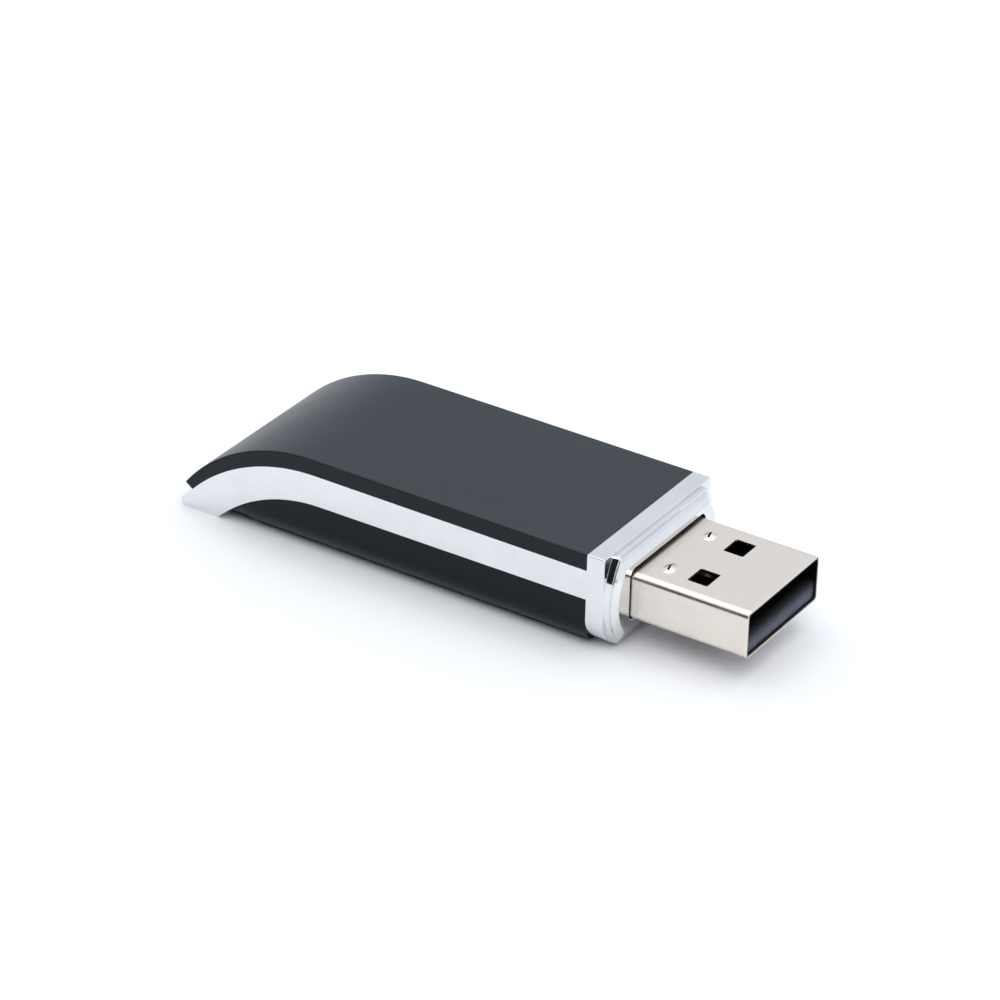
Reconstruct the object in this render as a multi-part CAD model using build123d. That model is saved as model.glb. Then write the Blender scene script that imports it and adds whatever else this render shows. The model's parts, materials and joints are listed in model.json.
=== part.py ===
from build123d import *
import math
import os

# USB flash drive, millimetres.
# +X runs along the length towards the plug's mouth, +Y across, +Z up.
# The origin is the middle of the length and width, on the surface that the drive lies on.

# ---------------------------------------------------------------- driving dimensions
# Whole drive, and how far a cutting body runs past what it cuts
LENGTH = 56.3
BODY_WIDTH = 17.3
BODY_HEIGHT = 9.15
MOUTH_X = LENGTH / 2
TAIL_X = -LENGTH / 2
OVERCUT = 1.0

# USB-A plug shell
PLUG_WIDTH = 12.0
PLUG_HEIGHT = 4.5
PLUG_BOTTOM = 2.45
PLUG_TOP = PLUG_BOTTOM + PLUG_HEIGHT
PLUG_SHEET = 0.3
PLUG_CORNER = 0.65
PLUG_REAR_X = 10.6
WINDOW_X = 22.1
WINDOW_Y = 2.95
WINDOW_LENGTH = 1.95
WINDOW_WIDTH = 2.3
WINDOW_CORNER = 0.15
LANCE_X = 19.05
LANCE_Y = 3.3
LANCE_LENGTH = 1.2
LANCE_WIDTH = 1.8
LANCE_RISE = 0.17
LANCE_CREST = 0.3
LANCE_SLIT_X = LANCE_X - 0.1
LANCE_SLIT_WIDTH = 0.2
LANCE_SLIT_LENGTH = 1.05
LANCE_SLIT_ANGLE = 16.0
MOUTH_EDGE = 0.08
SEAM_GAP = 0.08
SEAM_TAB_X = 19.4
SEAM_TAB_LENGTH = 2.4
SEAM_TAB_WIDTH = 1.6
SEAM_TOP = PLUG_BOTTOM + PLUG_SHEET + 0.1
WING_FRONT_X = 8.0
WING_BOTTOM = 3.3
WING_TOP = 5.2
WING_ROOT = 0.5

# Collar: a flange, then a shallow ledge and a crowned seat for a cap
FLANGE_BACK_X = 14.07
FLANGE_FRONT_X = 15.75
FLANGE_BOTTOM = 0.4
FLANGE_EDGE = 0.1
LEDGE_FRONT_X = 16.32
CROWN_BACK_X = 16.26
CROWN_CREST_X = 16.38
CROWN_MIDDLE_X = 16.58
COLLAR_FACE_X = 16.88
COLLAR_MID_Z = PLUG_BOTTOM + PLUG_HEIGHT / 2
SEAT_CORNER = 0.26
OPENING_SIDE_GAP = 0.18
OPENING_TOP_GAP = 0.34
OPENING_BOTTOM_GAP = 0.12
OPENING_EDGE = 0.08
LOWER_EDGE_RADIUS = 2.35

# The seat's cross-sections: half width, half height, and the radius of the bulging sides
LEDGE_BACK = (8.58, 4.20, 7.6)
LEDGE_FRONT = (8.50, 4.20, 7.2)
CROWN_BACK = (8.34, 3.98, 6.6)
CROWN_CREST = (8.35, 4.00, 6.4)
CROWN_MIDDLE = (8.22, 3.68, 5.6)
CROWN_FRONT = (7.92, 3.06, 4.6)

# Side view of the three layers: cover on top, bright band, lower shell
COVER_THICKNESS = 1.55
COVER_CURVE_X = -14.05
COVER_CURVE_RADIUS = 17.3
COVER_CURVE_ANGLE = 52.0
BAND_TOP = BODY_HEIGHT - COVER_THICKNESS
BAND_TOP_CURVE_X = -13.78
BAND_TOP_CURVE_RADIUS = 18.11
BAND_TOP_CURVE_ANGLE = 46.5
BAND_BOTTOM_FRONT = 4.8
BAND_BOTTOM_REAR = 4.66
BAND_BOTTOM_CURVE_X = -13.17
BAND_BOTTOM_CURVE_RADIUS = 15.33
TAIL_END_RADIUS = 0.55
ARCH_REAR_X = -23.5
ARCH_FRONT_X = -20.2
ARCH_HEIGHT = 1.0
BELLY_FRONT_X = 6.0

# Walls and snap fits
EDGE_BREAK = 0.12
BAND_WALL = 1.2
BAND_FRONT_X = FLANGE_BACK_X + 0.5
BAND_REAR_X = -23.5
POCKET_Y = BODY_WIDTH / 2 - BAND_WALL
LIP_GAP = 0.05
LIP_THICKNESS = 0.5
LIP_OUTER_Y = POCKET_Y - LIP_GAP
LIP_INNER_Y = LIP_OUTER_Y - LIP_THICKNESS
LIP_REAR_X = -12.0
LIP_FRONT_X = 13.6
LOWER_LIP_TOP = 5.55
LOWER_LIP_BOTTOM = 3.66
UPPER_LIP_BOTTOM = 6.85
SHELL_FLOOR = 1.2
SHELL_POCKET_REAR_X = -18.0
SHELL_POCKET_FRONT_X = 12.9
BARB_XS = (-9.5, 0.0, 9.5)
BARB_LENGTH = 3.0
BARB_HEIGHT = 0.4
BARB_DEPTH = 0.2
BARB_ROOM = 0.06
LOWER_BARB_Z = 5.3
UPPER_BARB_Z = 7.1
REST_XS = (-11.2, -1.0, 5.8)
REST_LENGTH = 1.6
REST_WIDTH = 1.2
CRADLE_X = PLUG_REAR_X + 0.6
CRADLE_LENGTH = 0.8
STOP_REAR_X = PLUG_REAR_X - 0.9
STOP_INSET = 1.0

# Plug insulator and contacts
TONGUE_TOP = COLLAR_MID_Z
TONGUE_FRONT_X = MOUTH_X - 0.25
TONGUE_REAR_X = 10.9
BLOCK_FRONT_X = 16.4
TONGUE_NOSE = 0.6
INSULATOR_GAP = 0.04
CONTACT_WIDTH = 1.0
CONTACT_THICKNESS = 0.3
CONTACT_PROUD = 0.05
CONTACT_TAIL_X = 8.2
CONTACT_BEND = 0.35
CONTACT_DIP = 0.1
CONTACT_DIP_PLACE = 0.7
GROOVE_END = 0.3
CONTACTS = {
    "contact_vbus": (3.5, MOUTH_X - 1.9),
    "contact_data_minus": (1.0, MOUTH_X - 2.9),
    "contact_data_plus": (-1.0, MOUTH_X - 2.9),
    "contact_ground": (-3.5, MOUTH_X - 1.9),
}

# Circuit board and what is soldered to it
BOARD_TOP = TONGUE_TOP + CONTACT_PROUD - CONTACT_THICKNESS
BOARD_THICKNESS = 0.8
BOARD_BOTTOM = BOARD_TOP - BOARD_THICKNESS
BOARD_REAR_X = -12.6
BOARD_FRONT_X = 10.2
BOARD_WIDTH = 13.4
BOARD_NECK_X = 7.2
BOARD_NECK_WIDTH = 11.0
NAND_X = -2.4
NAND_LENGTH = 18.4
NAND_WIDTH = 12.0
NAND_THICKNESS = 1.0
NAND_LEADS_PER_SIDE = 24
CONTROLLER_X = -4.0
CONTROLLER_SIDE = 7.0
CONTROLLER_THICKNESS = 1.4
CONTROLLER_LEADS_PER_SIDE = 12
LEAD_PITCH = 0.5
LEAD_WIDTH = 0.22
LEAD_THICKNESS = 0.15
LEAD_SHOULDER = 0.25
LEAD_FOOT = 0.45
LEAD_SLANT = 0.05
LEAD_END = 0.1
PACKAGE_TAPER = 0.15
DIMPLE_INSET = 1.2
DIMPLE_RADIUS = 0.4
DIMPLE_DEPTH = 0.1
PACKAGE_STANDOFF = 0.1
CRYSTAL_X = 4.6
CRYSTAL_SIZE = (3.2, 5.0, 0.7)
CRYSTAL_LID = 0.35
CRYSTAL_LID_MARGIN = 0.5
CRYSTAL_LID_CORNER = 0.4
CAPACITOR_SIZE = (1.6, 0.8, 0.8)
CAPACITOR_PLACES = ((-10.4, 4.2), (-10.4, 1.4), (-10.4, -1.4), (-10.4, -4.2), (2.0, 5.0), (2.0, -5.0))
RESISTOR_SIZE = (1.0, 0.5, 0.35)
RESISTOR_PLACES = ((7.9, 1.6), (7.9, 0.6), (7.9, -0.4), (7.0, -4.0), (7.0, 4.6))
TERMINAL_LENGTH = 0.22
TERMINAL_SKIN = 0.02
REGULATOR_PLACE = (8.2, -2.4)
REGULATOR_SIZE = (1.3, 2.4, 1.0)
REGULATOR_LEAD_YS = (-0.95, 0.95)
BEAD_PLACE = (8.3, 3.2)
BEAD_SIZE = (1.25, 2.0, 0.9)
SOLDER_LENGTH = 0.4
SOLDER_HEIGHT = 0.24
SOLDER_HOLLOW = (0.35, 0.3)
SOLDER_MARGIN = 0.4


# ---------------------------------------------------------------- helpers
def block(x0, x1, y0, y1, z0, z1):
    """A box between two corners."""
    return Pos((x0 + x1) / 2, (y0 + y1) / 2, (z0 + z1) / 2) * Box(x1 - x0, y1 - y0, z1 - z0)


def centred_block(x0, x1, half_width, z0, z1):
    """A box that is symmetric about the drive's middle plane."""
    return block(x0, x1, -half_width, half_width, z0, z1)


def drop_point(start, radius, angle):
    """A point on the arc that leaves start level, heading to -X, and curves down."""
    turn = math.radians(angle)
    return (start[0] - radius * math.sin(turn), start[1] - radius * (1 - math.cos(turn)))


def drop_arc(start, radius, angle):
    """The arc from start to its point at the given angle."""
    return ThreePointArc(start, drop_point(start, radius, angle / 2), drop_point(start, radius, angle))


def from_side(curves, width):
    """A closed side outline, extruded evenly to both sides."""
    return extrude(Plane.XZ * make_face(curves), amount=width / 2, both=True)


def from_front(face, x0, x1):
    """A face drawn in (y, z), extruded from x0 to x1."""
    return extrude(Plane.YZ.offset(x0) * face, amount=x1 - x0)


def rounded_rectangle(half_width, bottom, top, radius):
    """A rectangle with four equal corners, drawn in (y, z)."""
    return Pos(0, (bottom + top) / 2) * RectangleRounded(2 * half_width, top - bottom, radius)


def round_bottomed(bottom, top):
    """The body's cross-section: square upper corners and large round lower ones."""
    half = BODY_WIDTH / 2
    section = Pos(0, (bottom + top) / 2) * Rectangle(2 * half, top - bottom)
    lower = section.vertices().sort_by(Axis.Y)[:2]
    return fillet(lower, LOWER_EDGE_RADIUS)


# ---------------------------------------------------------------- outlines of the layers
BAND_TOP_START = (BAND_TOP_CURVE_X, BAND_TOP)
BAND_BOTTOM_START = (BAND_BOTTOM_CURVE_X, BAND_BOTTOM_REAR)
BAND_BOTTOM_ANGLE = math.degrees(math.acos(1 - BAND_BOTTOM_REAR / BAND_BOTTOM_CURVE_RADIUS))
FOOT_FRONT = (drop_point(BAND_BOTTOM_START, BAND_BOTTOM_CURVE_RADIUS, BAND_BOTTOM_ANGLE)[0], 0)


def cover_outline():
    """The cover: level, then curving down and thinning to its tip."""
    start = (COVER_CURVE_X, BODY_HEIGHT)
    outer = drop_arc(start, COVER_CURVE_RADIUS, COVER_CURVE_ANGLE)
    inner = drop_arc(BAND_TOP_START, BAND_TOP_CURVE_RADIUS, BAND_TOP_CURVE_ANGLE)
    return [
        Line((FLANGE_BACK_X, BODY_HEIGHT), start),
        outer,
        Line(outer @ 1, inner @ 1),
        inner,
        Line(BAND_TOP_START, (FLANGE_BACK_X, BAND_TOP)),
        Line((FLANGE_BACK_X, BAND_TOP), (FLANGE_BACK_X, BODY_HEIGHT)),
    ]


def tail_end(tip):
    """The band's rounded end: a straight run from tip, tangent to an arc that meets the table."""
    centre = (TAIL_X + TAIL_END_RADIUS, TAIL_END_RADIUS)
    away = math.atan2(tip[1] - centre[1], tip[0] - centre[0])
    side = math.acos(TAIL_END_RADIUS / math.dist(tip, centre))
    touch_x = centre[0] + TAIL_END_RADIUS * math.cos(away + side)
    touch_z = centre[1] + TAIL_END_RADIUS * math.sin(away + side)
    heel = (centre[0], 0)
    return [
        Line(tip, (touch_x, touch_z)),
        ThreePointArc((touch_x, touch_z), (TAIL_X, TAIL_END_RADIUS), heel),
        Line(heel, FOOT_FRONT),
    ]


def band_outline():
    """The bright band, from the flange to the foot at the tail."""
    upper = drop_arc(BAND_TOP_START, BAND_TOP_CURVE_RADIUS, BAND_TOP_CURVE_ANGLE)
    lower = drop_arc(BAND_BOTTOM_START, BAND_BOTTOM_CURVE_RADIUS, BAND_BOTTOM_ANGLE)
    tip = drop_point(BAND_TOP_START, BAND_TOP_CURVE_RADIUS, BAND_TOP_CURVE_ANGLE)
    return [
        Line((BAND_FRONT_X, BAND_TOP), BAND_TOP_START),
        upper,
        *tail_end(tip),
        lower,
        Line(BAND_BOTTOM_START, (FLANGE_BACK_X, BAND_BOTTOM_FRONT)),
        Line((FLANGE_BACK_X, BAND_BOTTOM_FRONT), (BAND_FRONT_X, BAND_BOTTOM_FRONT)),
        Line((BAND_FRONT_X, BAND_BOTTOM_FRONT), (BAND_FRONT_X, BAND_TOP)),
    ]


def lower_shell_outline():
    """The lower shell: flat belly, lifting a little to the flange and arching to the foot."""
    belly_radius = ((FLANGE_BACK_X - BELLY_FRONT_X) ** 2 + FLANGE_BOTTOM ** 2) / (2 * FLANGE_BOTTOM)
    half_run = (FLANGE_BACK_X - BELLY_FRONT_X) / 2
    half_rise = belly_radius - math.sqrt(belly_radius ** 2 - half_run ** 2)
    belly_middle = (BELLY_FRONT_X + half_run, half_rise)
    belly_end = (FLANGE_BACK_X, FLANGE_BOTTOM)
    shell_top_front = (FLANGE_BACK_X, BAND_BOTTOM_FRONT)
    arch_top = ((ARCH_REAR_X + ARCH_FRONT_X) / 2, ARCH_HEIGHT)
    return [
        Line(shell_top_front, BAND_BOTTOM_START),
        drop_arc(BAND_BOTTOM_START, BAND_BOTTOM_CURVE_RADIUS, BAND_BOTTOM_ANGLE),
        Line(FOOT_FRONT, (ARCH_REAR_X, 0)),
        ThreePointArc((ARCH_REAR_X, 0), arch_top, (ARCH_FRONT_X, 0)),
        Line((ARCH_FRONT_X, 0), (BELLY_FRONT_X, 0)),
        ThreePointArc((BELLY_FRONT_X, 0), belly_middle, belly_end),
        Line(belly_end, shell_top_front),
    ]


# ---------------------------------------------------------------- casing
def barbs(z, depth, room=0.0):
    """Snap barbs along both sides, or the recesses for them when room is given."""
    half_length = BARB_LENGTH / 2 + room
    half_height = BARB_HEIGHT / 2 + room
    pieces = []
    for x in BARB_XS:
        for side in (-1, 1):
            y0, y1 = sorted((side * (LIP_OUTER_Y - LIP_GAP), side * (LIP_OUTER_Y + depth)))
            pieces.append(block(x - half_length, x + half_length, y0, y1, z - half_height, z + half_height))
    return pieces


def lip_rails(z0, z1):
    """Two upright rails that locate a cover inside the band."""
    return [
        block(LIP_REAR_X, LIP_FRONT_X, -LIP_OUTER_Y, -LIP_INNER_Y, z0, z1),
        block(LIP_REAR_X, LIP_FRONT_X, LIP_INNER_Y, LIP_OUTER_Y, z0, z1),
    ]


def top_cover():
    """The long curved cover plate with snap rails underneath."""
    plate = from_side(cover_outline(), BODY_WIDTH)
    top_edges = plate.edges().filter_by(is_cover_top_edge)
    plate = fillet(top_edges, EDGE_BREAK)
    rails = lip_rails(UPPER_LIP_BOTTOM, BAND_TOP + LIP_GAP)
    return plate + rails + barbs(UPPER_BARB_Z, BARB_DEPTH)


def is_cover_top_edge(edge):
    """The long outer edges along the cover's top, level and curved."""
    middle = edge @ 0.5
    on_side = abs(abs(middle.Y) - BODY_WIDTH / 2) < EDGE_BREAK
    level = middle.Z > BODY_HEIGHT - EDGE_BREAK
    curved = edge.geom_type == GeomType.CIRCLE and abs(edge.radius - COVER_CURVE_RADIUS) < EDGE_BREAK
    return on_side and (level or curved) and abs(edge.length) > COVER_THICKNESS * 2


def seat_section(x, section):
    """One cross-section of the cap seat: flat top and bottom, bulging sides, small corners."""
    half_width, half_height, side_radius = section
    bulge = side_radius - math.sqrt(side_radius ** 2 - half_height ** 2)
    side_y = half_width - bulge
    top = COLLAR_MID_Z + half_height
    bottom = COLLAR_MID_Z - half_height
    outline = [
        Line((-side_y, top), (side_y, top)),
        ThreePointArc((side_y, top), (half_width, COLLAR_MID_Z), (side_y, bottom)),
        Line((side_y, bottom), (-side_y, bottom)),
        ThreePointArc((-side_y, bottom), (-half_width, COLLAR_MID_Z), (-side_y, top)),
    ]
    face = make_face(outline)
    return Plane.YZ.offset(x) * fillet(face.vertices(), SEAT_CORNER)


def cap_seat():
    """Ledge and crowned seat in front of the flange, which a cap would slide over."""
    ledge = loft([
        seat_section(FLANGE_FRONT_X - FLANGE_EDGE, LEDGE_BACK),
        seat_section(LEDGE_FRONT_X, LEDGE_FRONT),
    ])
    crown = loft([
        seat_section(CROWN_BACK_X, CROWN_BACK),
        seat_section(CROWN_CREST_X, CROWN_CREST),
        seat_section(CROWN_MIDDLE_X, CROWN_MIDDLE),
        seat_section(COLLAR_FACE_X, CROWN_FRONT),
    ], ruled=True)
    seat = ledge + crown - plug_opening()
    opening_edges = seat.faces().sort_by(Axis.X)[-1].inner_wires()[0].edges()
    return fillet(opening_edges, OPENING_EDGE)


def plug_opening():
    """The hole through the collar, with a little room round the plug."""
    outline = rounded_rectangle(
        PLUG_WIDTH / 2 + OPENING_SIDE_GAP,
        PLUG_BOTTOM - OPENING_BOTTOM_GAP,
        PLUG_TOP + OPENING_TOP_GAP,
        PLUG_CORNER + OPENING_SIDE_GAP,
    )
    return from_front(outline, FLANGE_BACK_X - OVERCUT, COLLAR_FACE_X + OVERCUT)


def flange():
    """The upright plate behind the cap seat, with broken edges round its front and along its top."""
    plate = from_front(round_bottomed(FLANGE_BOTTOM, BODY_HEIGHT), FLANGE_BACK_X, FLANGE_FRONT_X)
    front_edges = plate.faces().sort_by(Axis.X)[-1].edges()
    top_edges = plate.faces().sort_by(Axis.Z)[-1].edges().filter_by(Axis.X)
    return fillet(front_edges + top_edges, FLANGE_EDGE)


def mid_frame():
    """One bright moulding: flange, cap seat, the bands along the sides and the foot."""
    band = from_side(band_outline(), BODY_WIDTH)
    band -= centred_block(BAND_REAR_X, FLANGE_BACK_X, POCKET_Y, 0, BODY_HEIGHT)
    for z in (LOWER_BARB_Z, UPPER_BARB_Z):
        for recess in barbs(z, BARB_DEPTH + BARB_ROOM, BARB_ROOM):
            band -= recess
    return (flange() - plug_opening()) + (band - plug_opening()) + cap_seat()


def board_rests():
    """Ledges on the lower shell's side walls that carry the circuit board."""
    rests = []
    for x in REST_XS:
        for side in (-1, 1):
            y0, y1 = sorted((side * (LIP_INNER_Y - REST_WIDTH), side * (LIP_INNER_Y + LIP_GAP)))
            x0, x1 = x - REST_LENGTH / 2, x + REST_LENGTH / 2
            rests.append(block(x0, x1, y0, y1, SHELL_FLOOR / 2, BOARD_BOTTOM))
    return rests


def bottom_shell():
    """The lower shell: a tub that carries the board and cradles the plug."""
    solid = from_side(lower_shell_outline(), BODY_WIDTH)
    solid &= from_front(round_bottomed(0, BODY_HEIGHT), TAIL_X, FLANGE_BACK_X)
    pocket = centred_block(SHELL_POCKET_REAR_X, SHELL_POCKET_FRONT_X, LIP_INNER_Y, SHELL_FLOOR, BODY_HEIGHT)
    notch_half = PLUG_WIDTH / 2 + LIP_GAP
    notch_rear_x = SHELL_POCKET_FRONT_X - OVERCUT
    notch = centred_block(notch_rear_x, FLANGE_BACK_X + OVERCUT, notch_half, PLUG_BOTTOM, BODY_HEIGHT)
    tub = solid - pocket - notch
    cradle = centred_block(CRADLE_X, CRADLE_X + CRADLE_LENGTH, notch_half, SHELL_FLOOR / 2, PLUG_BOTTOM)
    stop_half = notch_half - STOP_INSET
    stop = centred_block(STOP_REAR_X, PLUG_REAR_X - LIP_GAP, stop_half, SHELL_FLOOR / 2, WING_BOTTOM)
    rails = lip_rails(LOWER_LIP_BOTTOM, LOWER_LIP_TOP)
    return tub + cradle + stop + board_rests() + rails + barbs(LOWER_BARB_Z, BARB_DEPTH)


# ---------------------------------------------------------------- plug
def lance(side):
    """A small raised mark on the plug's top, as a punch leaves it: a low cone with an oval foot."""
    foot = Ellipse(LANCE_LENGTH / 2, LANCE_WIDTH / 2)
    crest = Ellipse(LANCE_LENGTH / 2 * LANCE_CREST, LANCE_WIDTH / 2 * LANCE_CREST)
    base_z = PLUG_TOP - PLUG_SHEET / 2
    crest_z = PLUG_TOP + LANCE_RISE
    step = (crest_z - PLUG_TOP) / (1 - LANCE_CREST)
    base = scale(foot, 1 + (PLUG_TOP - base_z) / step)
    cone = loft([Pos(0, 0, base_z) * base, Pos(0, 0, crest_z) * crest])
    return Pos(LANCE_X, side * LANCE_Y, 0) * cone


def lance_slit(side):
    """The slit that the punch opens in a lance."""
    slit = extrude(SlotOverall(LANCE_SLIT_LENGTH, LANCE_SLIT_WIDTH), amount=OVERCUT + 2 * PLUG_SHEET)
    turned = Rot(0, 0, 90 + LANCE_SLIT_ANGLE) * slit
    return Pos(LANCE_SLIT_X, side * LANCE_Y, PLUG_TOP - 2 * PLUG_SHEET) * turned


def window_cuts():
    """The square windows through the top and bottom sheets."""
    cuts = []
    for side in (-1, 1):
        outline = RectangleRounded(WINDOW_LENGTH, WINDOW_WIDTH, WINDOW_CORNER)
        cut = extrude(outline, amount=PLUG_HEIGHT + 2 * OVERCUT)
        cuts.append(Pos(WINDOW_X, side * WINDOW_Y, PLUG_BOTTOM - OVERCUT) * cut)
    return cuts


def seam_cut():
    """The joint under the plug where the folded sheet meets itself, with one dovetail."""
    z0, z1 = PLUG_BOTTOM - OVERCUT, SEAM_TOP
    half = SEAM_GAP / 2
    tab_end = SEAM_TAB_X + SEAM_TAB_LENGTH
    runs = [
        block(PLUG_REAR_X - OVERCUT, SEAM_TAB_X + SEAM_GAP, -half, half, z0, z1),
        block(SEAM_TAB_X, SEAM_TAB_X + SEAM_GAP, -half, SEAM_TAB_WIDTH, z0, z1),
        block(SEAM_TAB_X, tab_end, SEAM_TAB_WIDTH - SEAM_GAP, SEAM_TAB_WIDTH, z0, z1),
        block(tab_end - SEAM_GAP, tab_end, -half, SEAM_TAB_WIDTH, z0, z1),
        block(tab_end - SEAM_GAP, MOUTH_X + OVERCUT, -half, half, z0, z1),
    ]
    return runs


def plug_shell():
    """The folded steel shell of the USB-A plug, with soldering wings at its rear."""
    outer = rounded_rectangle(PLUG_WIDTH / 2, PLUG_BOTTOM, PLUG_TOP, PLUG_CORNER)
    inner = rounded_rectangle(
        PLUG_WIDTH / 2 - PLUG_SHEET,
        PLUG_BOTTOM + PLUG_SHEET,
        PLUG_TOP - PLUG_SHEET,
        PLUG_CORNER - PLUG_SHEET,
    )
    shell = from_front(outer - inner, PLUG_REAR_X, MOUTH_X)
    mouth_edges = shell.faces().sort_by(Axis.X)[-1].outer_wire().edges()
    shell = fillet(mouth_edges, MOUTH_EDGE)
    for side in (-1, 1):
        y0, y1 = sorted((side * (PLUG_WIDTH / 2 - PLUG_SHEET), side * PLUG_WIDTH / 2))
        shell += block(WING_FRONT_X, PLUG_REAR_X + WING_ROOT, y0, y1, WING_BOTTOM, WING_TOP)
        shell += lance(side)
    for cut in window_cuts() + seam_cut() + [lance_slit(-1), lance_slit(1)]:
        shell -= cut
    return shell


def contact(y, front_x):
    """A flat contact strip whose front end dips into the tongue."""
    top = TONGUE_TOP + CONTACT_PROUD
    bottom = top - CONTACT_THICKNESS
    dip = front_x - CONTACT_BEND
    dip_middle = dip + CONTACT_BEND * CONTACT_DIP_PLACE
    outline = [
        Line((CONTACT_TAIL_X, top), (dip, top)),
        ThreePointArc((dip, top), (dip_middle, top - CONTACT_DIP), (front_x, bottom)),
        Line((front_x, bottom), (CONTACT_TAIL_X, bottom)),
        Line((CONTACT_TAIL_X, bottom), (CONTACT_TAIL_X, top)),
    ]
    return Pos(0, y, 0) * from_side(outline, CONTACT_WIDTH)


def plug_insulator():
    """The moulded tongue and rear block inside the plug, grooved for the contacts."""
    half = PLUG_WIDTH / 2 - PLUG_SHEET - INSULATOR_GAP
    floor = PLUG_BOTTOM + PLUG_SHEET + INSULATOR_GAP
    ceiling = PLUG_TOP - PLUG_SHEET - INSULATOR_GAP
    nose_x = TONGUE_FRONT_X - TONGUE_NOSE
    nose_rise = TONGUE_NOSE * math.sin(math.radians(45))
    nose_start = (TONGUE_FRONT_X, TONGUE_TOP - TONGUE_NOSE)
    nose_middle = (nose_x + nose_rise, TONGUE_TOP - TONGUE_NOSE + nose_rise)
    nose_end = (nose_x, TONGUE_TOP)
    tongue = [
        Polyline((TONGUE_REAR_X, floor), (TONGUE_FRONT_X, floor), nose_start),
        ThreePointArc(nose_start, nose_middle, nose_end),
        Polyline(nose_end, (BLOCK_FRONT_X, TONGUE_TOP), (BLOCK_FRONT_X, ceiling), (TONGUE_REAR_X, ceiling)),
        Line((TONGUE_REAR_X, ceiling), (TONGUE_REAR_X, floor)),
    ]
    body = from_side(tongue, 2 * half)
    corner = PLUG_CORNER - PLUG_SHEET
    body &= from_front(rounded_rectangle(half, floor, ceiling, corner), TONGUE_REAR_X, TONGUE_FRONT_X)
    for y, front_x in CONTACTS.values():
        half_groove = CONTACT_WIDTH / 2 + INSULATOR_GAP
        top = TONGUE_TOP + CONTACT_PROUD + INSULATOR_GAP
        y0, y1 = y - half_groove, y + half_groove
        body -= block(TONGUE_REAR_X - OVERCUT, front_x + GROOVE_END, y0, y1, BOARD_TOP, top)
    return body


# ---------------------------------------------------------------- circuit board
def circuit_board():
    """The board, with a neck between the plug's wings."""
    board = centred_block(BOARD_REAR_X, BOARD_NECK_X, BOARD_WIDTH / 2, BOARD_BOTTOM, BOARD_TOP)
    return board + centred_block(BOARD_NECK_X, BOARD_FRONT_X, BOARD_NECK_WIDTH / 2, BOARD_BOTTOM, BOARD_TOP)


def moulded_package(length, width, thickness):
    """A chip package standing on its lead side, with sloping sides and a pin-one dimple."""
    middle = PACKAGE_STANDOFF + thickness / 2
    halves = []
    for face_z in (PACKAGE_STANDOFF, PACKAGE_STANDOFF + thickness):
        wide = Pos(0, 0, middle) * Rectangle(length, width)
        narrow = Pos(0, 0, face_z) * Rectangle(length - PACKAGE_TAPER, width - PACKAGE_TAPER)
        halves.append(loft(sorted((wide, narrow), key=lambda face: face.center().Z)))
    dimple = Cylinder(DIMPLE_RADIUS, DIMPLE_DEPTH)
    corner = Pos(DIMPLE_INSET - length / 2, DIMPLE_INSET - width / 2, PACKAGE_STANDOFF + thickness)
    return halves[0] + halves[1] - corner * dimple


def gull_wing(reach, height):
    """One gull-wing lead that leaves a package at the origin, heading to +X."""
    knee = LEAD_SHOULDER + LEAD_THICKNESS
    outline = Polyline(
        (0, height),
        (knee, height),
        (knee + LEAD_SLANT, LEAD_THICKNESS),
        (reach, LEAD_THICKNESS),
        (reach, 0),
        (LEAD_SHOULDER, 0),
        (LEAD_SHOULDER - LEAD_SLANT, height - LEAD_THICKNESS),
        (0, height - LEAD_THICKNESS),
        close=True,
    )
    return from_side(outline, LEAD_WIDTH)


def lead_row(count, half_length, thickness, angle):
    """A row of leads along one side of a package."""
    height = PACKAGE_STANDOFF + thickness / 2 + LEAD_THICKNESS / 2
    lead = Pos(half_length, 0, 0) * gull_wing(LEAD_SHOULDER + LEAD_FOOT + LEAD_END, height)
    first = -(count - 1) / 2 * LEAD_PITCH
    return [Rot(0, 0, angle) * Pos(0, first + i * LEAD_PITCH, 0) * lead for i in range(count)]


def on_top(shape, x, y):
    """Stand a shape on the board's upper side."""
    return Pos(x, y, BOARD_TOP) * shape


def underneath(shape, x, y):
    """Hang a shape from the board's lower side."""
    return Pos(x, y, BOARD_BOTTOM) * Rot(180, 0, 0) * shape


def nand_leads():
    """The memory chip's two rows of leads."""
    leads = []
    for angle in (0, 180):
        leads += lead_row(NAND_LEADS_PER_SIDE, NAND_LENGTH / 2, NAND_THICKNESS, angle)
    return Compound([on_top(lead, NAND_X, 0) for lead in leads])


def controller_leads():
    """The controller's four rows of leads."""
    leads = []
    for angle in (0, 90, 180, 270):
        leads += lead_row(CONTROLLER_LEADS_PER_SIDE, CONTROLLER_SIDE / 2, CONTROLLER_THICKNESS, angle)
    return Compound([underneath(lead, CONTROLLER_X, 0) for lead in leads])


def standing_box(size):
    """A box that stands on z = 0."""
    return Pos(0, 0, size[2] / 2) * Box(*size)


def chip_body(size):
    """A surface-mount resistor or capacitor without its metal ends."""
    bare = (size[0] - 2 * TERMINAL_LENGTH, size[1] - 2 * TERMINAL_SKIN, size[2] - 2 * TERMINAL_SKIN)
    return Pos(0, 0, TERMINAL_SKIN) * standing_box(bare)


def chip_ends(size):
    """The two metal ends of a surface-mount resistor or capacitor."""
    end = standing_box((TERMINAL_LENGTH, size[1], size[2]))
    offset = (size[0] - TERMINAL_LENGTH) / 2
    return [Pos(-offset, 0, 0) * end, Pos(offset, 0, 0) * end]


def chips(size, places):
    """A group of equal surface-mount chips, without their ends."""
    return Compound([underneath(chip_body(size), x, y) for x, y in places])


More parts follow.
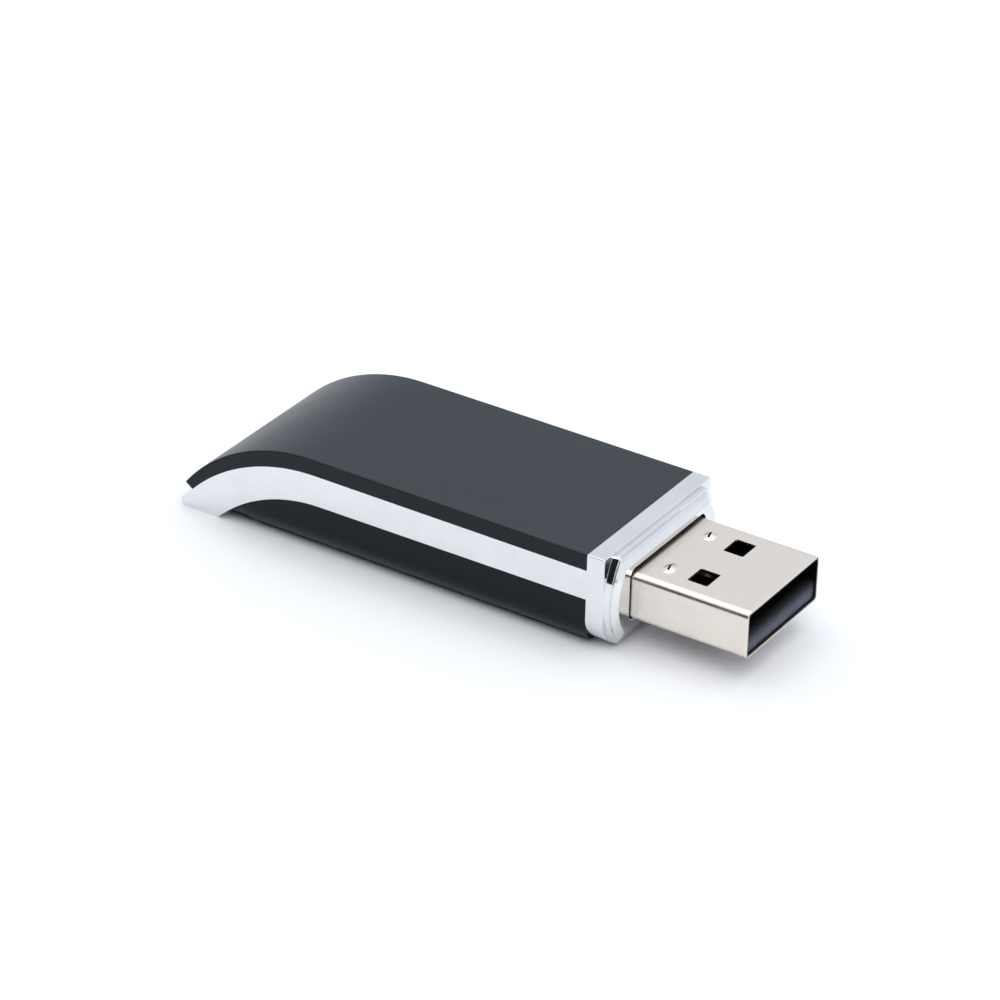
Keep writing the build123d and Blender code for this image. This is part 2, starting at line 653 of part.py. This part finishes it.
def passive_terminals():
    """The metal ends of every resistor and capacitor."""
    ends = []
    for size, places in ((CAPACITOR_SIZE, CAPACITOR_PLACES), (RESISTOR_SIZE, RESISTOR_PLACES)):
        for x, y in places:
            ends += [underneath(end, x, y) for end in chip_ends(size)]
    return Compound(ends)


def regulator():
    """The voltage regulator's moulded body."""
    length, width, thickness = REGULATOR_SIZE
    return underneath(moulded_package(length, width, thickness), *REGULATOR_PLACE)


def regulator_leads():
    """Two leads on one side of the regulator and one on the other."""
    length, _, thickness = REGULATOR_SIZE
    height = PACKAGE_STANDOFF + thickness / 2 + LEAD_THICKNESS / 2
    lead = Pos(length / 2, 0, 0) * gull_wing(LEAD_SHOULDER + LEAD_FOOT, height)
    leads = [Pos(0, y, 0) * lead for y in REGULATOR_LEAD_YS] + [Rot(0, 0, 180) * lead]
    return Compound([underneath(piece, *REGULATOR_PLACE) for piece in leads])


def solder_joints():
    """Solder behind each contact tail and inside each wing of the plug's shell."""
    hollow = (-SOLDER_LENGTH * SOLDER_HOLLOW[0], SOLDER_HEIGHT * SOLDER_HOLLOW[1])
    wedge = [
        Line((0, 0), (0, SOLDER_HEIGHT)),
        ThreePointArc((0, SOLDER_HEIGHT), hollow, (-SOLDER_LENGTH, 0)),
        Line((-SOLDER_LENGTH, 0), (0, 0)),
    ]
    joints = []
    for y, _ in CONTACTS.values():
        joints.append(Pos(CONTACT_TAIL_X, y, BOARD_TOP) * from_side(wedge, CONTACT_WIDTH))
    wing_inner = PLUG_WIDTH / 2 - PLUG_SHEET
    wing_middle = (BOARD_NECK_X + BOARD_FRONT_X) / 2
    for turn in (90, -90):
        fillet_run = from_side(wedge, BOARD_FRONT_X - BOARD_NECK_X - 2 * SOLDER_MARGIN)
        side = 1 if turn == 90 else -1
        joints.append(Pos(wing_middle, side * wing_inner, BOARD_TOP) * Rot(0, 0, turn) * fillet_run)
    return Compound(joints)


# ---------------------------------------------------------------- all sub-parts
def sub_parts():
    """Every sub-part by its node name."""
    parts = {
        "top_cover": top_cover(),
        "mid_frame": mid_frame(),
        "bottom_shell": bottom_shell(),
        "plug_shell": plug_shell(),
        "plug_insulator": plug_insulator(),
        "circuit_board": circuit_board(),
        "nand_package": on_top(moulded_package(NAND_LENGTH, NAND_WIDTH, NAND_THICKNESS), NAND_X, 0),
        "nand_leads": nand_leads(),
        "controller_package": underneath(
            moulded_package(CONTROLLER_SIDE, CONTROLLER_SIDE, CONTROLLER_THICKNESS), CONTROLLER_X, 0
        ),
        "controller_leads": controller_leads(),
        "crystal_base": underneath(standing_box(CRYSTAL_SIZE), CRYSTAL_X, 0),
        "crystal_lid": underneath(crystal_lid(), CRYSTAL_X, 0),
        "capacitors": chips(CAPACITOR_SIZE, CAPACITOR_PLACES),
        "resistors": chips(RESISTOR_SIZE, RESISTOR_PLACES),
        "passive_terminals": passive_terminals(),
        "regulator": regulator(),
        "regulator_leads": regulator_leads(),
        "ferrite_bead": underneath(standing_box(BEAD_SIZE), *BEAD_PLACE),
        "solder_joints": solder_joints(),
    }
    for name, (y, front_x) in CONTACTS.items():
        parts[name] = contact(y, front_x)
    return parts


def crystal_lid():
    """The crystal's soldered metal lid."""
    length, width, base = CRYSTAL_SIZE
    lid = Box(length - CRYSTAL_LID_MARGIN, width - CRYSTAL_LID_MARGIN, CRYSTAL_LID)
    lid = Pos(0, 0, base + CRYSTAL_LID / 2) * lid
    return fillet(lid.edges().filter_by(Axis.Z), CRYSTAL_LID_CORNER)


os.makedirs("parts", exist_ok=True)
for name, shape in sub_parts().items():
    export_step(shape, f"parts/{name}.step")
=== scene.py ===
import json
import math

import bpy
from mathutils import Matrix, Vector


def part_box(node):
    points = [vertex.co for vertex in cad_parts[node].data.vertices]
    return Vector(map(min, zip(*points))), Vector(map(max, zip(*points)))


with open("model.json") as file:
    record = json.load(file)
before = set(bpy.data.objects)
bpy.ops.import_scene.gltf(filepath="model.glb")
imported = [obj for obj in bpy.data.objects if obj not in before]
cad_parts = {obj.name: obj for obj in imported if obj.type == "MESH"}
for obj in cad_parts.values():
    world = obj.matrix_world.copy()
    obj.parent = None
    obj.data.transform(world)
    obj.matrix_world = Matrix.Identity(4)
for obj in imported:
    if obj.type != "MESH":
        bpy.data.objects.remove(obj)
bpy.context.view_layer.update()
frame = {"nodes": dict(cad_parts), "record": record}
MM = 0.001

# ---------------------------------------------------------------- camera
# Solved from the photo's straight edges, with the plug at its standard size: degrees and metres
CAMERA_AZIMUTH = 32.427
CAMERA_ELEVATION = 29.903
CAMERA_ROLL = 1.370
CAMERA_DISTANCE = 0.37918
CAMERA_LENS_MM = 157.36
CAMERA_AIM = Vector((-0.00038, 0.00033, 0.00542))
CAMERA_CLIP = (0.01, 20)

# ---------------------------------------------------------------- studio
# The light is fitted to the reflections in the photo. Heights are sines of the elevation.
FLOOR_HALF_SIDE = 3.0
FLOOR_COLOUR = (0.83, 0.85, 0.89)
FLOOR_MOTTLE = 0.995
# The studio's brightness, dimmer straight overhead: (height, colour)
SKY = (
    (0.00, (0.95, 0.98, 1.05)),
    (0.14, (0.92, 0.96, 1.03)),
    (0.25, (0.70, 0.75, 0.83)),
    (0.42, (0.69, 0.73, 0.80)),
    (0.52, (0.86, 0.89, 0.95)),
    (0.70, (1.00, 1.03, 1.08)),
    (0.82, (1.45, 1.45, 1.45)),
    (0.92, (2.25, 2.23, 2.20)),
    (0.965, (2.60, 2.57, 2.52)),
    (0.985, (1.00, 1.00, 1.00)),
    (1.00, (0.90, 0.90, 0.90)),
)
# A soft key light: where it is, the cosines from there where it starts and is full, its colour
KEY_DIRECTION = (0.35, -0.60, 0.72)
KEY_WIDTH = (0.80, 0.96)
KEY_COLOUR = (2.30, 2.28, 2.22)
# The dark room on the near side, in the same way, and the heights where it ends and is full
DARK_ROOM_DIRECTION = (0.0, -1.0, 0.0)
DARK_ROOM_COLOUR = (0.015, 0.016, 0.020)
DARK_ROOM_WIDTH = (0.45, 0.68)
DARK_ROOM_TOP = (0.68, 0.58)
# What the camera itself sees behind the drive
SEEN_BACKDROP = (1, 1, 1, 1)


def make_camera():
    """The studio camera: a long lens above the plug's near corner, level but for a small roll."""
    azimuth = math.radians(CAMERA_AZIMUTH)
    elevation = math.radians(CAMERA_ELEVATION)
    back = Vector((
        math.sin(azimuth) * math.cos(elevation),
        -math.cos(azimuth) * math.cos(elevation),
        math.sin(elevation),
    ))
    camera = bpy.data.objects.new("camera", bpy.data.cameras.new("camera"))
    bpy.context.scene.collection.objects.link(camera)
    camera.data.lens = CAMERA_LENS_MM
    camera.data.clip_start, camera.data.clip_end = CAMERA_CLIP
    turn = (-back).to_track_quat("-Z", "Y").to_matrix().to_4x4()
    roll = Matrix.Rotation(math.radians(CAMERA_ROLL), 4, "Z")
    camera.matrix_world = Matrix.Translation(CAMERA_AIM + back * CAMERA_DISTANCE) @ turn @ roll
    bpy.context.scene.camera = camera


# ---------------------------------------------------------------- inside the plug, in millimetres
HALF_SHEET = 0.15
insulator_low, insulator_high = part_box("plug_insulator")
# The cross-section of the space inside the plug, out to the middle of its sheet:
# (axis, middle, half its size)
PLUG_INNER_SPACE = tuple(
    (axis, (high + low) / 2 / MM, (high - low) / 2 / MM + HALF_SHEET)
    for axis, low, high in zip("YZ", insulator_low[1:], insulator_high[1:])
)
# The tongue is palest, with a painted reflection, up to the first of these heights and dark, with painted
# shade, from the second
TONGUE_PALE_HEIGHT = insulator_low[2] / MM + 0.2
TONGUE_DARK_HEIGHT = insulator_low[2] / MM + 1.9


# ---------------------------------------------------------------- node helpers
BEVEL_SAMPLES = 6
# Cosine between the true and the rounded direction where an edge starts to count and counts fully
EDGE_MATCH = (0.995, 0.90)
# Sideways part of the direction where a face starts to count as a wall and counts fully
WALL_FACING = (0.75, 0.95)


class Nodes:
    """A short way to add shader nodes to a tree and to link them."""

    def __init__(self, tree):
        self.tree = tree
        tree.nodes.clear()

    def put(self, socket, value):
        """Link a node or a socket to an input, or set the input's own value."""
        if isinstance(value, bpy.types.Node):
            value = value.outputs[0]
        if isinstance(value, bpy.types.NodeSocket):
            self.tree.links.new(value, socket)
        else:
            socket.default_value = value

    def add(self, kind, inputs=None, **settings):
        """Add a node with its settings and with its inputs, by name or by number."""
        node = self.tree.nodes.new(kind)
        for name, value in settings.items():
            setattr(node, name, value)
        for key, value in (inputs or {}).items():
            self.put(node.inputs[key], value)
        return node

    def ramp(self, factor, stops):
        """A colour ramp through the given (position, colour) stops."""
        node = self.add("ShaderNodeValToRGB", {"Fac": factor})
        elements = node.color_ramp.elements
        while len(elements) < len(stops):
            elements.new(0.5)
        for element, (position, colour) in zip(elements, stops):
            element.position = position
            element.color = (*colour, 1)
        return node

    def fade(self, value, start, end, low=0.0, high=1.0):
        """Take a value from start..end to low..high, smoothly."""
        inputs = {"Value": value, "From Min": start, "From Max": end, "To Min": low, "To Max": high}
        return self.add("ShaderNodeMapRange", inputs, interpolation_type="SMOOTHSTEP")

    def math(self, operation, first, second=0.0):
        return self.add("ShaderNodeMath", {0: first, 1: second}, operation=operation)

    def mix(self, factor, first, second):
        """Blend two colours."""
        node = self.add("ShaderNodeMix", data_type="RGBA")
        colours = [socket for socket in node.inputs if socket.type == "RGBA"]
        self.put(node.inputs["Factor"], factor)
        for socket, value in zip(colours, (first, second)):
            self.put(socket, (*value, 1) if isinstance(value, tuple) else value)
        return next(socket for socket in node.outputs if socket.type == "RGBA")


class Finish(Nodes):
    """One material, textured in the drive's own coordinates, in millimetres."""

    def __init__(self, name):
        self.material = bpy.data.materials.new(name)
        self.material.use_nodes = True
        super().__init__(self.material.node_tree)
        place = self.add("ShaderNodeTexCoord").outputs["Object"]
        scale = {0: place, 1: (1 / MM,) * 3}
        self.place = self.add("ShaderNodeVectorMath", scale, operation="MULTIPLY").outputs[0]

    def stretched(self, along):
        """The place, scaled unevenly, so that a pattern runs long in the directions with small numbers."""
        return self.add("ShaderNodeVectorMath", {0: self.place, 1: along}, operation="MULTIPLY").outputs[0]

    def noise(self, per_mm, detail=2.0, place=None):
        """Smooth noise with about the given number of features in a millimetre."""
        inputs = {"Vector": place or self.place, "Scale": per_mm, "Detail": detail}
        return self.add("ShaderNodeTexNoise", inputs).outputs["Fac"]

    def speckle(self, per_mm):
        """Distance to the nearest of many scattered points."""
        inputs = {"Vector": self.place, "Scale": per_mm}
        return self.add("ShaderNodeTexVoronoi", inputs, feature="F1").outputs["Distance"]

    def edge_normal(self, radius_mm):
        """The surface's direction with its sharp edges rounded off."""
        return self.add("ShaderNodeBevel", {"Radius": radius_mm * MM}, samples=BEVEL_SAMPLES).outputs[0]

    def edge_mask(self, radius_mm):
        """1 close to sharp edges, 0 elsewhere."""
        true = self.add("ShaderNodeNewGeometry").outputs["Normal"]
        inputs = {0: self.edge_normal(radius_mm), 1: true}
        match = self.add("ShaderNodeVectorMath", inputs, operation="DOT_PRODUCT").outputs["Value"]
        return self.fade(match, *EDGE_MATCH)

    def bump(self, height, depth_mm, normal=None):
        """Raise the surface by a height of 0 to 1 times the depth."""
        inputs = {"Height": height, "Distance": depth_mm * MM, "Strength": 1.0}
        if normal:
            inputs["Normal"] = normal
        return self.add("ShaderNodeBump", inputs).outputs[0]

    def upright_wall(self):
        """1 on walls that face sideways, 0 on faces that look up, down or along the drive."""
        facing = self.add("ShaderNodeTexCoord").outputs["Normal"]
        sideways = self.add("ShaderNodeSeparateXYZ", {"Vector": facing}).outputs["Y"]
        return self.fade(self.math("ABSOLUTE", sideways), *WALL_FACING)

    def inside_plug(self):
        """1 in the space that the plug's sheet encloses and on the sheet's inner side, 0 elsewhere: where
        painted shade goes.
        """
        axes = self.add("ShaderNodeSeparateXYZ", {"Vector": self.place})
        inside = None
        for axis, middle, half in PLUG_INNER_SPACE:
            away = self.math("ABSOLUTE", self.math("SUBTRACT", axes.outputs[axis], middle))
            near = self.math("LESS_THAN", away, half)
            inside = near if inside is None else self.math("MULTIPLY", inside, near)
        return inside

    def shade(self, **inputs):
        """Close the tree with one principled shader."""
        named = {name.replace("_", " "): value for name, value in inputs.items()}
        surface = self.add("ShaderNodeBsdfPrincipled", named)
        self.add("ShaderNodeOutputMaterial", {"Surface": surface})
        return self.material


# ---------------------------------------------------------------- finishes
# These refractive indices are lower than real plastics have, to match how dim the photo's reflections are
COVER_IOR = 1.32
SHELL_IOR = 1.285
TONGUE_IOR = 1.2
RUBBED_BLACK = (0.020, 0.025, 0.030)
RUBBED_SHARE = 0.6
FACE_MOTTLE = 1.12
WALL_MOTTLE = 1.15
# Painted shade for the plug's inner side and the space it encloses
INNER_STEEL_PAINTED_SHADE = (0.10, 0.095, 0.09)
# How far round an edge the wear reaches, and how much smoother it and the walls are
CASE_WEAR_MM = 0.12
SHEET_WEAR_MM = 0.25
EDGE_POLISH = 0.08
WALL_POLISH = 0.06
# Radii that the shading gives to sharp edges
CASE_EDGE_MM = 0.05
SMALL_EDGE_MM = 0.04
LEAD_EDGE_MM = 0.02
# How much rougher the dull patches are
PLATING_DULLING = 0.14
BODY_DULLING = 0.12
WEAVE_SCALE = 0.9
LANE_SCALE = 0.7


def moulded_black(name, colour, shaded_wall_colour, ior, roughness, grain_mm):
    """Moulded black ABS: fine spark-eroded grain, upright walls smoother and darkened with painted shade,
    edges rubbed.
    """
    finish = Finish(name)
    edge = finish.edge_mask(CASE_WEAR_MM)
    wall = finish.upright_wall()
    flow = finish.fade(finish.noise(per_mm=0.09, detail=3.0), 0.3, 0.7)
    face_tint = finish.mix(flow, colour, tuple(FACE_MOTTLE * part for part in colour))
    # The walls' darker colour is painted shade standing in for their dimmer reflections, not a colour of
    # the plastic
    shaded_wall_tint = finish.mix(flow, shaded_wall_colour, tuple(WALL_MOTTLE * part for part in shaded_wall_colour))
    tint = finish.mix(wall, face_tint, shaded_wall_tint)
    rubbing = finish.fade(finish.noise(per_mm=0.7, detail=4.0), 0.42, 0.62, 0.0, RUBBED_SHARE)
    worn = finish.math("MULTIPLY", edge, rubbing)
    base = finish.mix(worn, tint, RUBBED_BLACK)
    clouds = finish.noise(per_mm=0.22, detail=4.0)
    smudge = finish.fade(clouds, 0.35, 0.7, roughness - 0.01, roughness + 0.02)
    smooth_edge = finish.math("MULTIPLY", edge, EDGE_POLISH)
    smooth_wall = finish.math("MULTIPLY", wall, WALL_POLISH)
    smooth = finish.math("ADD", smooth_edge, smooth_wall)
    grain = finish.bump(finish.noise(per_mm=6.0, detail=3.0), grain_mm, finish.edge_normal(CASE_EDGE_MM))
    return finish.shade(
        Base_Color=base, Roughness=finish.math("SUBTRACT", smudge, smooth), IOR=ior, Normal=grain,
    )


def cover_black():
    # The second colour darkens the upright walls with painted shade
    colour, shaded_wall_colour = (0.0190, 0.0245, 0.0310), (0.0018, 0.0050, 0.0088)
    return moulded_black("cover_black", colour, shaded_wall_colour, COVER_IOR, roughness=0.36, grain_mm=0.0022)


def shell_black():
    # The second colour, painted shade on the walls, is barely darker here
    colour, shaded_wall_colour = (0.0008, 0.0034, 0.0062), (0.0006, 0.0032, 0.0060)
    return moulded_black("shell_black", colour, shaded_wall_colour, SHELL_IOR, roughness=0.29, grain_mm=0.0016)


def bright_frame():
    """Chrome plate over moulded ABS: faint orange peel, fine hairlines, softened edges."""
    finish = Finish("bright_frame")
    peel = finish.noise(per_mm=0.55, detail=2.0)
    hair = finish.noise(per_mm=1.0, detail=2.0, place=finish.stretched((0.5, 14.0, 9.0)))
    haze = finish.noise(per_mm=0.35, detail=4.0)
    colour = finish.mix(finish.fade(haze, 0.35, 0.7), (0.80, 0.808, 0.82), (0.76, 0.768, 0.782))
    dull = finish.math("ADD", haze, finish.math("MULTIPLY", hair, 0.4))
    rough = finish.fade(dull, 0.5, 0.95, 0.045, 0.12)
    soft = finish.bump(peel, depth_mm=0.0020, normal=finish.edge_normal(CASE_EDGE_MM))
    lined = finish.bump(hair, depth_mm=0.0002, normal=soft)
    return finish.shade(Base_Color=colour, Metallic=1.0, Roughness=rough, Normal=lined)


def plug_steel():
    """Nickel-plated sheet: speckled satin, rolled lines along its length, polished bends, painted shade
    inside.
    """
    finish = Finish("plug_steel")
    edge = finish.edge_mask(SHEET_WEAR_MM)
    cloud = finish.noise(per_mm=0.5, detail=4.0)
    tone = finish.mix(finish.fade(cloud, 0.35, 0.68), (0.800, 0.747, 0.674), (0.772, 0.720, 0.652))
    blush = finish.fade(finish.noise(per_mm=2.4, detail=4.0), 0.5, 0.70, 0.0, 0.6)
    plated = finish.mix(blush, tone, (0.790, 0.716, 0.655))
    # Painted shade: the steel inside the plug is darkened
    colour = finish.mix(finish.inside_plug(), plated, INNER_STEEL_PAINTED_SHADE)
    speck = finish.fade(finish.speckle(per_mm=3.5), 0.05, 0.22, 1.0, 0.0)
    satin = finish.fade(cloud, 0.3, 0.75, 0.27, 0.32)
    rough = finish.math("ADD", satin, finish.math("MULTIPLY", speck, 0.06))
    rubbed = finish.math("SUBTRACT", rough, finish.math("MULTIPLY", edge, EDGE_POLISH))
    rolled = finish.noise(per_mm=1.0, detail=3.0, place=finish.stretched((0.35, 11.0, 11.0)))
    pitted = finish.noise(per_mm=7.0, detail=3.0)
    pits = finish.bump(pitted, depth_mm=0.0016, normal=finish.edge_normal(SMALL_EDGE_MM))
    lined = finish.bump(rolled, depth_mm=0.0011, normal=pits)
    return finish.shade(Base_Color=colour, Metallic=1.0, Roughness=rubbed, Normal=lined)


def tongue_plastic():
    """Dark glass-filled polymer: fine flow streaks, smoother low in the mouth, paler there with a painted
    reflection and darker higher up with painted shade.
    """
    finish = Finish("tongue_plastic")
    streak = finish.noise(per_mm=1.2, detail=4.0, place=finish.stretched((0.4, 1.6, 1.6)))
    painted_shade_deep = finish.mix(finish.fade(streak, 0.35, 0.7), (0.002, 0.002, 0.003), (0.004, 0.004, 0.006))
    painted_reflection_pale = finish.mix(finish.fade(streak, 0.35, 0.7), (0.085, 0.095, 0.125), (0.110, 0.122, 0.155))
    height = finish.add("ShaderNodeSeparateXYZ", {"Vector": finish.place}).outputs["Z"]
    # Painted reflection low in the mouth, fading to painted shade higher up
    colour = finish.mix(finish.fade(height, TONGUE_DARK_HEIGHT, TONGUE_PALE_HEIGHT), painted_shade_deep, painted_reflection_pale)
    rough = finish.fade(height, TONGUE_PALE_HEIGHT, TONGUE_DARK_HEIGHT, 0.45, 0.62)
    grain = finish.bump(finish.noise(per_mm=9.0, detail=3.0), depth_mm=0.003)
    return finish.shade(Base_Color=colour, Roughness=rough, IOR=TONGUE_IOR, Normal=grain)


def plated_metal(name, colour, dull_colour, roughness):
    """A small plated part: drawn lines, dull patches and soft edges."""
    finish = Finish(name)
    patch = finish.noise(per_mm=1.4, detail=4.0)
    base = finish.mix(finish.fade(patch, 0.4, 0.7), colour, dull_colour)
    rough = finish.fade(patch, 0.3, 0.75, roughness, roughness + PLATING_DULLING)
    drawn = finish.noise(per_mm=1.0, detail=2.0, place=finish.stretched((0.8, 16.0, 16.0)))
    normal = finish.bump(drawn, depth_mm=0.0012, normal=finish.edge_normal(LEAD_EDGE_MM))
    return finish.shade(Base_Color=base, Metallic=1.0, Roughness=rough, Normal=normal)


def contact_gold():
    return plated_metal("contact_gold", (0.86, 0.63, 0.27), (0.70, 0.50, 0.24), roughness=0.22)


def lead_tin():
    return plated_metal("lead_tin", (0.72, 0.72, 0.72), (0.55, 0.55, 0.56), roughness=0.36)


def lid_metal():
    return plated_metal("lid_metal", (0.74, 0.71, 0.62), (0.62, 0.60, 0.54), roughness=0.30)


def solder():
    return plated_metal("solder", (0.76, 0.76, 0.78), (0.60, 0.60, 0.62), roughness=0.20)


def board_green():
    """Solder mask over woven glass: the weave shows through, with paler lanes over the copper."""
    finish = Finish("board_green")
    threads = {"Vector": finish.place, "Scale": WEAVE_SCALE}
    weave_x = finish.add("ShaderNodeTexWave", threads, bands_direction="X")
    weave_y = finish.add("ShaderNodeTexWave", threads, bands_direction="Y")
    weave = finish.math("MULTIPLY", weave_x.outputs["Fac"], weave_y.outputs["Fac"])
    lane = finish.add(
        "ShaderNodeTexVoronoi",
        {"Vector": finish.place, "Scale": LANE_SCALE},
        feature="DISTANCE_TO_EDGE",
        distance="MANHATTAN",
    )
    copper = finish.fade(lane.outputs["Distance"], 0.05, 0.08, 1.0, 0.0)
    mask = finish.mix(weave, (0.010, 0.085, 0.035), (0.014, 0.100, 0.042))
    colour = finish.mix(copper, mask, (0.035, 0.180, 0.060))
    height = finish.math("ADD", finish.math("MULTIPLY", weave, 0.3), copper)
    rough = finish.fade(weave, 0.0, 1.0, 0.26, 0.36)
    raised = finish.bump(height, depth_mm=0.02)
    return finish.shade(Base_Color=colour, Roughness=rough, Normal=raised)


def fired_body(name, colour, dark_colour, roughness, grains_per_mm):
    """A moulded or fired component body: matt, with a grain of its own."""
    finish = Finish(name)
    grain = finish.noise(grains_per_mm, detail=4.0)
    base = finish.mix(finish.fade(grain, 0.35, 0.68), colour, dark_colour)
    rough = finish.fade(finish.noise(per_mm=0.8, detail=3.0), 0.3, 0.7, roughness, roughness + BODY_DULLING)
    normal = finish.bump(grain, depth_mm=0.004, normal=finish.edge_normal(SMALL_EDGE_MM))
    return finish.shade(Base_Color=base, Roughness=rough, Normal=normal)


def chip_black():
    colour, dark_colour = (0.022, 0.022, 0.024), (0.014, 0.014, 0.015)
    return fired_body("chip_black", colour, dark_colour, roughness=0.48, grains_per_mm=7.0)


def component_ceramic():
    colour, dark_colour = (0.42, 0.29, 0.17), (0.34, 0.22, 0.12)
    return fired_body("component_ceramic", colour, dark_colour, roughness=0.42, grains_per_mm=5.0)


def component_ferrite():
    colour, dark_colour = (0.045, 0.045, 0.047), (0.030, 0.030, 0.032)
    return fired_body("component_ferrite", colour, dark_colour, roughness=0.55, grains_per_mm=6.0)


def studio_floor():
    """Matt white board under the drive."""
    finish = Finish("studio_floor")
    tone = finish.fade(finish.noise(per_mm=0.02, detail=2.0), 0.3, 0.7)
    colour = finish.mix(tone, FLOOR_COLOUR, tuple(FLOOR_MOTTLE * part for part in FLOOR_COLOUR))
    return finish.shade(Base_Color=colour, Roughness=0.6, Specular_IOR_Level=0.2)


FINISHES = {
    "cover_black": cover_black,
    "bright_frame": bright_frame,
    "shell_black": shell_black,
    "plug_steel": plug_steel,
    "tongue_plastic": tongue_plastic,
    "contact_gold": contact_gold,
    "board_green": board_green,
    "chip_black": chip_black,
    "lead_tin": lead_tin,
    "component_ceramic": component_ceramic,
    "lid_metal": lid_metal,
    "component_ferrite": component_ferrite,
    "solder": solder,
}


def dress_nodes():
    """Give every CAD node the finish of its material slot."""
    materials = {slot: make() for slot, make in FINISHES.items()}
    for part in frame["record"]["subparts"]:
        piece = frame["nodes"][part["node"]]
        for slot in piece.material_slots:
            slot.material = materials[part["material_slot"]]


# ---------------------------------------------------------------- stage
def make_floor():
    side = FLOOR_HALF_SIDE
    mesh = bpy.data.meshes.new("floor")
    corners = [(-side, -side, 0), (side, -side, 0), (side, side, 0), (-side, side, 0)]
    mesh.from_pydata(corners, [], [(0, 1, 2, 3)])
    floor = bpy.data.objects.new("floor", mesh)
    bpy.context.scene.collection.objects.link(floor)
    floor.data.materials.append(studio_floor())


def make_world():
    """White studio light from high up, with a soft key in front and a dark room low on the near side.

    The camera itself sees plain white behind the drive.
    """
    world = bpy.data.worlds.new("studio")
    bpy.context.scene.world = world
    world.use_nodes = True
    nodes = Nodes(world.node_tree)
    direction = nodes.add("ShaderNodeTexCoord").outputs["Generated"]
    height = nodes.add("ShaderNodeSeparateXYZ", {"Vector": direction}).outputs["Z"]
    brightest = max(*KEY_COLOUR, *(max(colour) for _, colour in SKY))
    sky = nodes.ramp(height, [(at, tuple(part / brightest for part in colour)) for at, colour in SKY])
    inputs = {0: direction, 1: Vector(KEY_DIRECTION).normalized()}
    facing_key = nodes.add("ShaderNodeVectorMath", inputs, operation="DOT_PRODUCT").outputs["Value"]
    key = nodes.fade(facing_key, *KEY_WIDTH)
    above = nodes.mix(key, sky, tuple(part / brightest for part in KEY_COLOUR))
    inputs = {0: direction, 1: DARK_ROOM_DIRECTION}
    facing_room = nodes.add("ShaderNodeVectorMath", inputs, operation="DOT_PRODUCT").outputs["Value"]
    low_down = nodes.fade(height, *DARK_ROOM_TOP)
    dark = nodes.math("MULTIPLY", nodes.fade(facing_room, *DARK_ROOM_WIDTH), low_down)
    room = nodes.mix(dark, above, tuple(part / brightest for part in DARK_ROOM_COLOUR))
    lit = nodes.add("ShaderNodeBackground", {"Color": room, "Strength": brightest})
    seen = nodes.add("ShaderNodeBackground", {"Color": SEEN_BACKDROP, "Strength": 1.0})
    camera_ray = nodes.add("ShaderNodeLightPath").outputs["Is Camera Ray"]
    shader = nodes.add("ShaderNodeMixShader", {0: camera_ray, 1: lit, 2: seen})
    nodes.add("ShaderNodeOutputWorld", {"Surface": shader})


dress_nodes()
make_camera()
make_floor()
make_world()
bpy.context.scene.view_settings.view_transform = "Standard"
